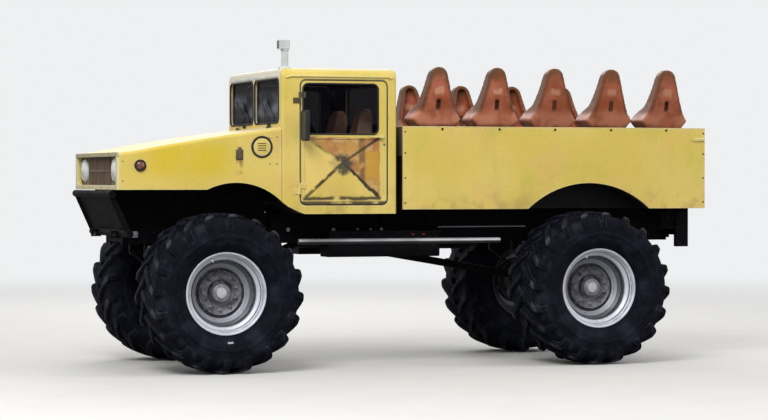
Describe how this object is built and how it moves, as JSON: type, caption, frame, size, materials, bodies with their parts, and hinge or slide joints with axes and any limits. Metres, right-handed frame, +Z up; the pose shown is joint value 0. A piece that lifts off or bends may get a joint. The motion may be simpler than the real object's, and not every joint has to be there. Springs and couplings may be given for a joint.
{
  "type": "passenger monster truck",
  "caption": "Lifted yellow truck on oversized tractor tyres, with a steel cab, opening doors, hood and tailgate, and rows of moulded passenger seats in its bed.",
  "frame": {"origin": "on the ground, in the middle of the truck's length and width", "axes": "+Z up, -X forward, -Y the driver's left"},
  "size_m": [6.8499, 2.89, 3.52],
  "materials": {
    "tyre": "worn matte rubber",
    "rim": "silver paint, worn",
    "body_paint": "faded yellow paint, scratched, rust at the edges",
    "chassis_paint": "black chassis paint, dusty",
    "axle_iron": "painted black",
    "spring_steel": "black, rusty at the leaf edges",
    "damper": "worn light grey paint",
    "engine_iron": "oily grey",
    "step_tube": "dull bright metal",
    "tank": "black paint",
    "grille_paint": "brown paint, dusty",
    "lamp_glass": "clear lens over a bright reflector",
    "window_glass": "clear, dusty",
    "cab_trim": "black vinyl and plastic",
    "white_paint": "white paint",
    "bed_metal": "dark grey paint, scuffed",
    "seat_shell": "faded orange-red moulded shell, dusty"
  },
  "bodies": {
    "chassis": {"front_axle": "axle_iron", "rear_axle": "axle_iron", "frame_rails": "chassis_paint", "body_sills": "chassis_paint", "crossmembers": "chassis_paint", "front_guard": "chassis_paint", "rear_hitch": "chassis_paint", "drive_shafts": "chassis_paint", "side_boxes": "chassis_paint", "nose_aprons": "chassis_paint", "leaf_springs": "spring_steel", "shock_absorbers": "damper", "powertrain": "engine_iron", "side_tubes": "step_tube", "fuel_tank": "tank", "fender_left": "body_paint", "fender_right": "body_paint", "grille_panel": "body_paint", "cab_body": "body_paint", "bed_side_left": "body_paint", "bed_side_right": "body_paint", "hinges": "body_paint", "grille": "grille_paint", "lamps": "lamp_glass", "cab_glass": "window_glass", "dashboard": "cab_trim", "roof_pipe": "white_paint", "bed_floor": "bed_metal", "seat_deck": "bed_metal", "seat_benches": "bed_metal", "bed_seats": "seat_shell", "cab_seats": "seat_shell"},
    "wheel_front_left": {"tyre_front_left": "tyre", "rim_front_left": "rim"},
    "wheel_front_right": {"tyre_front_right": "tyre", "rim_front_right": "rim"},
    "wheel_rear_left": {"tyre_rear_left": "tyre", "rim_rear_left": "rim"},
    "wheel_rear_right": {"tyre_rear_right": "tyre", "rim_rear_right": "rim"},
    "knuckle_left": {"knuckle_left": "axle_iron"},
    "knuckle_right": {"knuckle_right": "axle_iron"},
    "tie_rod": {"tie_rod": "axle_iron"},
    "hood": {"hood": "body_paint"},
    "door_left": {"door_left": "body_paint", "door_glass_left": "window_glass"},
    "door_right": {"door_right": "body_paint", "door_glass_right": "window_glass"},
    "tailgate": {"tailgate": "body_paint"}
  },
  "joints": [
    {"name": "steer_left", "type": "hinge", "parent": "chassis", "child": "knuckle_left", "pos_m": [-2.275, -0.83, 0.84], "axis": [0, 0, 1], "range_deg": [-20, 20]},
    {"name": "steer_right", "type": "hinge", "parent": "chassis", "child": "knuckle_right", "pos_m": [-2.275, 0.83, 0.84], "axis": [0, 0, 1], "range_deg": [-20, 20]},
    {"name": "tie_rod_swing", "type": "hinge", "parent": "knuckle_left", "child": "tie_rod", "pos_m": [-2.515, -0.83, 0.815], "axis": [0, 0, 1], "range_deg": [-20, 20]},
    {"name": "roll_front_left", "type": "hinge", "parent": "knuckle_left", "child": "wheel_front_left", "pos_m": [-2.275, -1.045, 0.84], "axis": [0, -1, 0], "continuous": true},
    {"name": "roll_front_right", "type": "hinge", "parent": "knuckle_right", "child": "wheel_front_right", "pos_m": [-2.275, 1.045, 0.84], "axis": [0, -1, 0], "continuous": true},
    {"name": "roll_rear_left", "type": "hinge", "parent": "chassis", "child": "wheel_rear_left", "pos_m": [1.965, -1.045, 0.84], "axis": [0, -1, 0], "continuous": true},
    {"name": "roll_rear_right", "type": "hinge", "parent": "chassis", "child": "wheel_rear_right", "pos_m": [1.965, 1.045, 0.84], "axis": [0, -1, 0], "continuous": true},
    {"name": "hood_hinge", "type": "hinge", "parent": "chassis", "child": "hood", "pos_m": [-1.6169, 0, 2.5997], "axis": [0, 1, 0], "range_deg": [0, 60]},
    {"name": "door_left_hinge", "type": "hinge", "parent": "chassis", "child": "door_left", "pos_m": [-1.386, -1.058, 2.43], "axis": [0, 0, -1], "range_deg": [0, 70]},
    {"name": "door_right_hinge", "type": "hinge", "parent": "chassis", "child": "door_right", "pos_m": [-1.386, 1.058, 2.43], "axis": [0, 0, 1], "range_deg": [0, 70]},
    {"name": "tailgate_hinge", "type": "hinge", "parent": "chassis", "child": "tailgate", "pos_m": [3.409, 0, 1.695], "axis": [0, 1, 0], "range_deg": [0, 90]}
  ],
  "couplings": [
    {"joint": "steer_right", "follows": "steer_left", "ratio": 1},
    {"joint": "tie_rod_swing", "follows": "steer_left", "ratio": -1}
  ]
}
